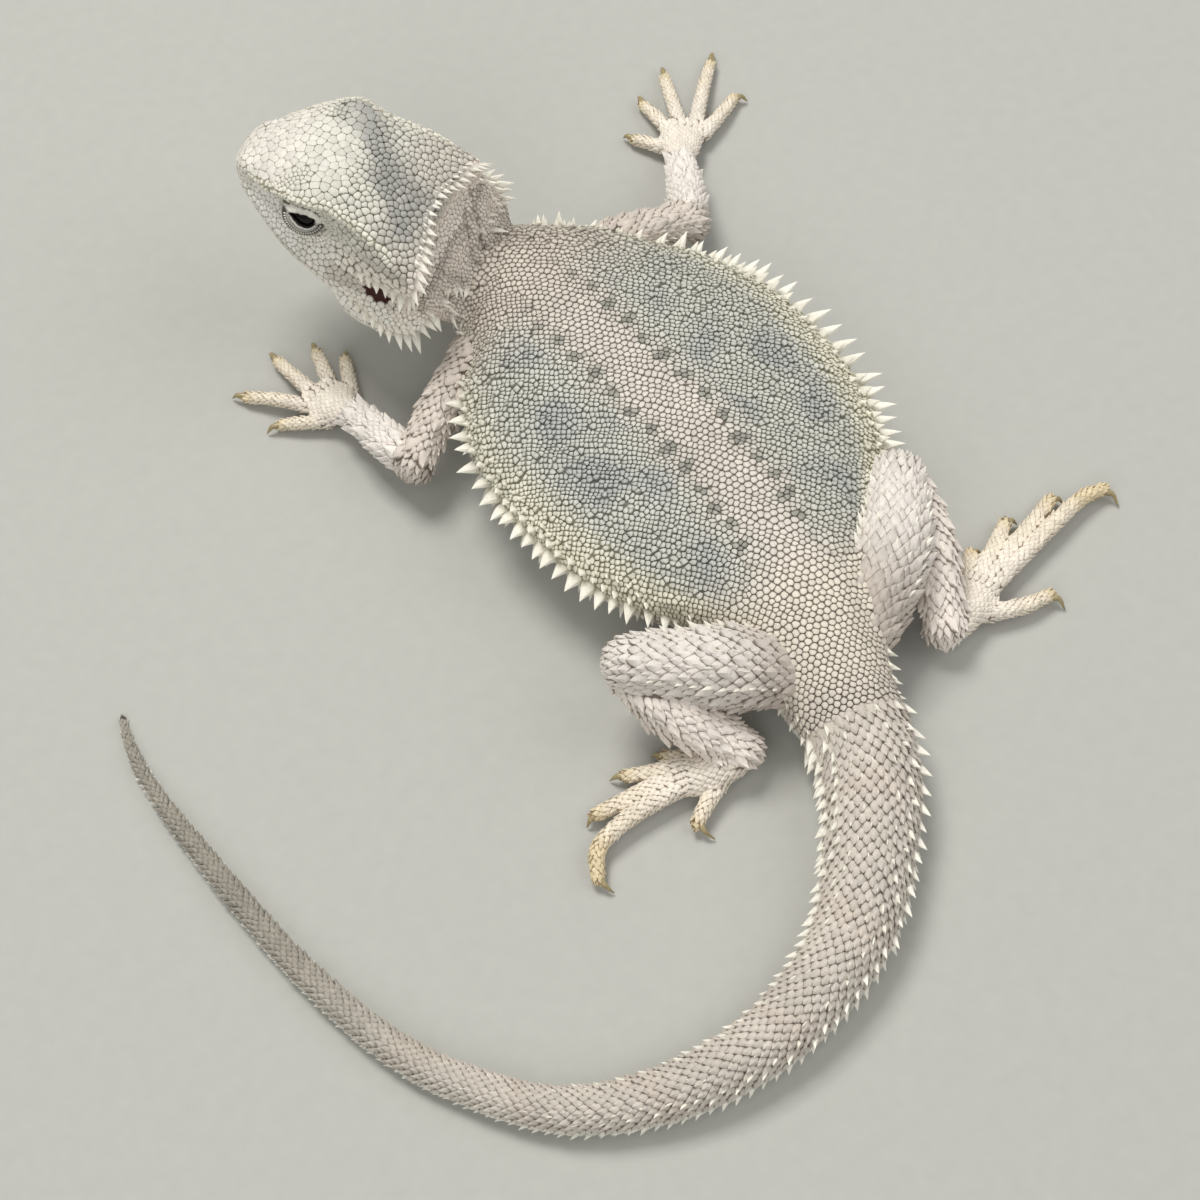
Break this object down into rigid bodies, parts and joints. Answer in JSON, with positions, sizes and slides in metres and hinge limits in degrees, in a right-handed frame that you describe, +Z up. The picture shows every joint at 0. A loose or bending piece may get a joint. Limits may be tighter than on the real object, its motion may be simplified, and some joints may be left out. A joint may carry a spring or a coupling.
{
  "type": "bearded dragon model",
  "caption": "Life-size still model of a pale bearded dragon lying flat on its belly, head raised and turned, tail curled forward.",
  "frame": {"origin": "on the floor, at the middle of the whole model in plan", "axes": "+Z up from the floor, the trunk runs along Y with the head toward -Y, the animal's left side toward +X"},
  "size_m": [0.2399, 0.2567, 0.063],
  "materials": {
    "pale_scales": "off-white to pinkish keeled scales with darker skin between them",
    "grey_scales": "fine grey scales of the back and neck, cream toward the sides",
    "claw": "translucent brown horn",
    "eye": "wet black eye"
  },
  "bodies": {
    "root": {"head": "pale_scales", "lower_jaw": "pale_scales", "eye_left": "eye", "eye_right": "eye", "neck": "grey_scales", "torso": "grey_scales", "hips": "grey_scales", "tail_1": "pale_scales", "tail_2": "pale_scales", "tail_3": "pale_scales", "tail_4": "pale_scales", "tail_5": "pale_scales", "upper_arm_left": "pale_scales", "forearm_left": "pale_scales", "hand_left": "pale_scales", "thigh_left": "pale_scales", "shank_left": "pale_scales", "foot_left": "pale_scales", "upper_arm_right": "pale_scales", "forearm_right": "pale_scales", "hand_right": "pale_scales", "thigh_right": "pale_scales", "shank_right": "pale_scales", "foot_right": "pale_scales", "claw_hand_left_1": "claw", "claw_hand_left_2": "claw", "claw_hand_left_3": "claw", "claw_hand_left_4": "claw", "claw_hand_left_5": "claw", "claw_hand_right_1": "claw", "claw_hand_right_2": "claw", "claw_hand_right_3": "claw", "claw_hand_right_4": "claw", "claw_hand_right_5": "claw", "claw_foot_left_1": "claw", "claw_foot_left_2": "claw", "claw_foot_left_3": "claw", "claw_foot_left_4": "claw", "claw_foot_left_5": "claw", "claw_foot_right_1": "claw", "claw_foot_right_2": "claw", "claw_foot_right_3": "claw", "claw_foot_right_4": "claw", "claw_foot_right_5": "claw"}
  },
  "joints": []
}
